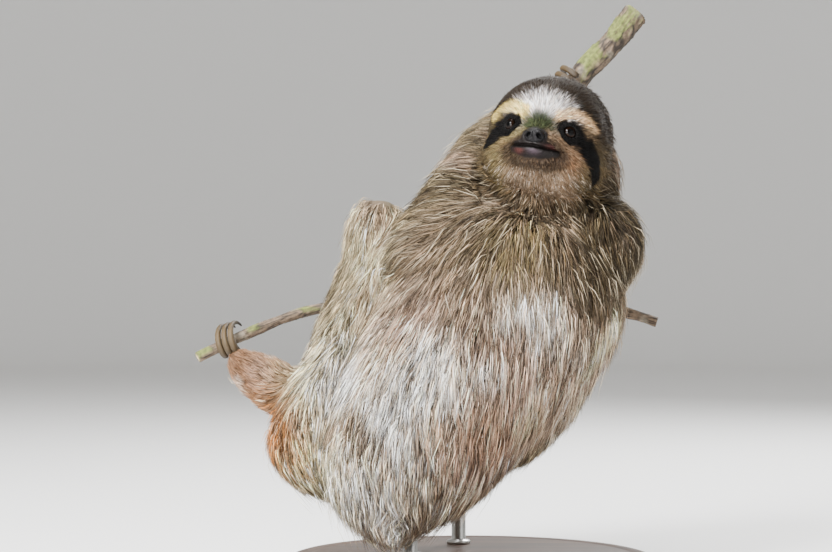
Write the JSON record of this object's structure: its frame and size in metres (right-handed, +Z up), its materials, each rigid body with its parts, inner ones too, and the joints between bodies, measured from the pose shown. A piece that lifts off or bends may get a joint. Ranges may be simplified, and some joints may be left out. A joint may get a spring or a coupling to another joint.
{
  "type": "three-toed sloth",
  "caption": "Life-size three-toed sloth seen from behind, head turned round over its back, gripping a cut forked perch on a plain display stand.",
  "frame": {"origin": "centre of the stand's underside, on the surface it stands on", "axes": "+Z up; +X is the animal's right; +Y is the way its belly faces, so its back and its turned face look along -Y"},
  "size_m": [0.3886, 0.3079, 0.4821],
  "materials": {
    "coat": "long coarse grey-brown fur with pale blotches",
    "face_fur": "short dense tan fur with a dark eye mask",
    "nose": "bare moist black skin",
    "eye": "polished, wet",
    "claw": "horn, satin",
    "bark": "rough bark with some moss",
    "stand_wood": "dark satin",
    "stand_steel": "satin"
  },
  "bodies": {
    "root": {"stand_rod_perch": "stand_steel", "stand_rod_seat": "stand_steel", "stand_base": "stand_wood", "perch_stem": "bark", "perch_twig_left": "bark", "perch_twig_right": "bark", "eye_left": "eye", "eye_right": "eye", "nose": "nose", "head": "face_fur", "trunk": "coat", "neck": "coat", "tail": "coat", "thigh_left": "coat", "upper_arm_left": "coat", "forearm_left": "coat", "shank_left": "coat", "hand_left": "coat", "claw_hand_left_1": "claw", "claw_hand_left_2": "claw", "claw_hand_left_3": "claw", "foot_left": "coat", "claw_foot_left_1": "claw", "claw_foot_left_2": "claw", "claw_foot_left_3": "claw", "thigh_right": "coat", "upper_arm_right": "coat", "forearm_right": "coat", "shank_right": "coat", "hand_right": "coat", "claw_hand_right_1": "claw", "claw_hand_right_2": "claw", "claw_hand_right_3": "claw", "foot_right": "coat", "claw_foot_right_1": "claw", "claw_foot_right_2": "claw", "claw_foot_right_3": "claw"}
  },
  "joints": []
}
